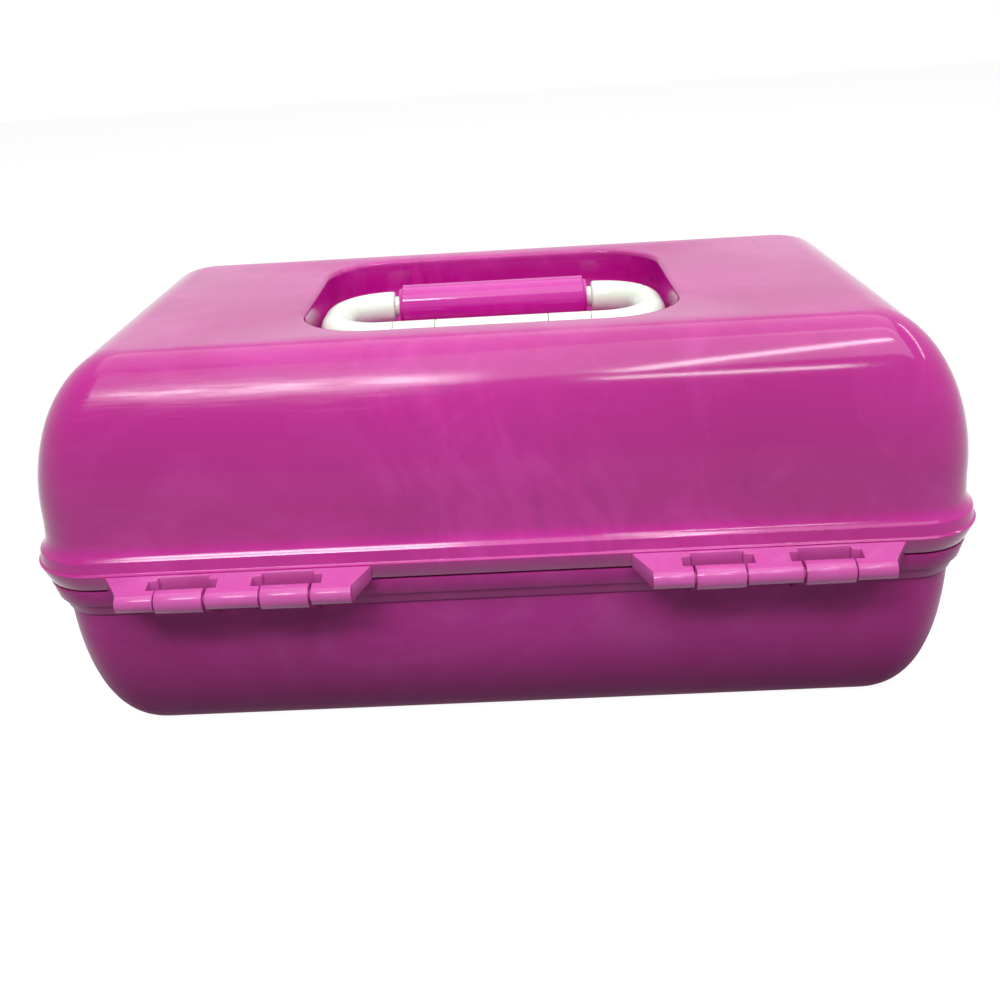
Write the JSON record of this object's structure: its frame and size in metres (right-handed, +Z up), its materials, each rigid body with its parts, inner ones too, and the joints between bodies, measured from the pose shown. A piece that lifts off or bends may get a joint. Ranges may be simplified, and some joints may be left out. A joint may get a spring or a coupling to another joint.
{
  "type": "makeup storage case",
  "caption": "Moulded carry case for make-up with a domed hinged lid, a recessed folding carrying ring, front latches, a lid mirror and a tray that swings up with the lid.",
  "frame": {"origin": "middle of the flat underside of the base, on the surface the case stands on", "axes": "+X along the width, to the right when facing the latches; -Y towards the latches, +Y towards the hinges; +Z up through the lid"},
  "size_m": [0.32, 0.2017, 0.14],
  "materials": {
    "case_plastic": "semi-gloss moulded, faint marbled flow, light scuffs",
    "ring_plastic": "gloss moulded, warm white",
    "grip_plastic": "gloss moulded",
    "latch_plastic": "gloss moulded, warm white",
    "tray_plastic": "satin moulded",
    "arm_plastic": "satin moulded",
    "mirror_glass": "silvered glass",
    "screw_steel": "plated steel"
  },
  "bodies": {
    "base": {"base_shell": "case_plastic", "base_pivot_studs": "arm_plastic"},
    "lid": {"lid_shell": "case_plastic", "handle_clamp_left": "ring_plastic", "handle_clamp_right": "ring_plastic", "clamp_screws": "screw_steel", "mirror_frame": "case_plastic", "mirror_glass": "mirror_glass", "mirror_screws": "screw_steel", "latch_pin_left": "screw_steel", "latch_pin_right": "screw_steel", "lid_pivot_studs": "arm_plastic"},
    "handle": {"handle_ring": "ring_plastic"},
    "grip": {"grip_half_upper": "grip_plastic", "grip_half_lower": "grip_plastic"},
    "latch_left": {"latch_left": "latch_plastic"},
    "latch_right": {"latch_right": "latch_plastic"},
    "arm_left": {"tray_arm_left": "arm_plastic"},
    "arm_right": {"tray_arm_right": "arm_plastic"},
    "tray_unit": {"tray": "tray_plastic", "tray_pivot_studs": "arm_plastic"}
  },
  "joints": [
    {"name": "lid_hinge", "type": "hinge", "parent": "base", "child": "lid", "pos_m": [0, 0.099, 0.066], "axis": [-1, 0, 0], "range_deg": [0, 105]},
    {"name": "handle_fold", "type": "hinge", "parent": "lid", "child": "handle", "pos_m": [0, 0.024, 0.1282], "axis": [-1, 0, 0], "range_deg": [0, 100]},
    {"name": "grip_spin", "type": "hinge", "parent": "handle", "child": "grip", "pos_m": [0, -0.021, 0.1282], "axis": [1, 0, 0], "continuous": true},
    {"name": "latch_left_hinge", "type": "hinge", "parent": "lid", "child": "latch_left", "pos_m": [-0.095, -0.0954, 0.073], "axis": [-1, 0, 0], "range_deg": [0, 110]},
    {"name": "latch_right_hinge", "type": "hinge", "parent": "lid", "child": "latch_right", "pos_m": [0.095, -0.0954, 0.073], "axis": [-1, 0, 0], "range_deg": [0, 110]},
    {"name": "arm_left_swing", "type": "hinge", "parent": "base", "child": "arm_left", "pos_m": [-0.1445, 0.03, 0.056], "axis": [-1, 0, 0], "range_deg": [0, 105]},
    {"name": "arm_right_swing", "type": "hinge", "parent": "base", "child": "arm_right", "pos_m": [0.1445, 0.03, 0.056], "axis": [-1, 0, 0], "range_deg": [0, 105]},
    {"name": "tray_level", "type": "hinge", "parent": "arm_left", "child": "tray_unit", "pos_m": [-0.1445, -0.03, 0.056], "axis": [-1, 0, 0], "range_deg": [-105, 0]}
  ],
  "couplings": [
    {"joint": "arm_left_swing", "follows": "lid_hinge", "ratio": 1},
    {"joint": "arm_right_swing", "follows": "lid_hinge", "ratio": 1},
    {"joint": "tray_level", "follows": "lid_hinge", "ratio": -1}
  ]
}
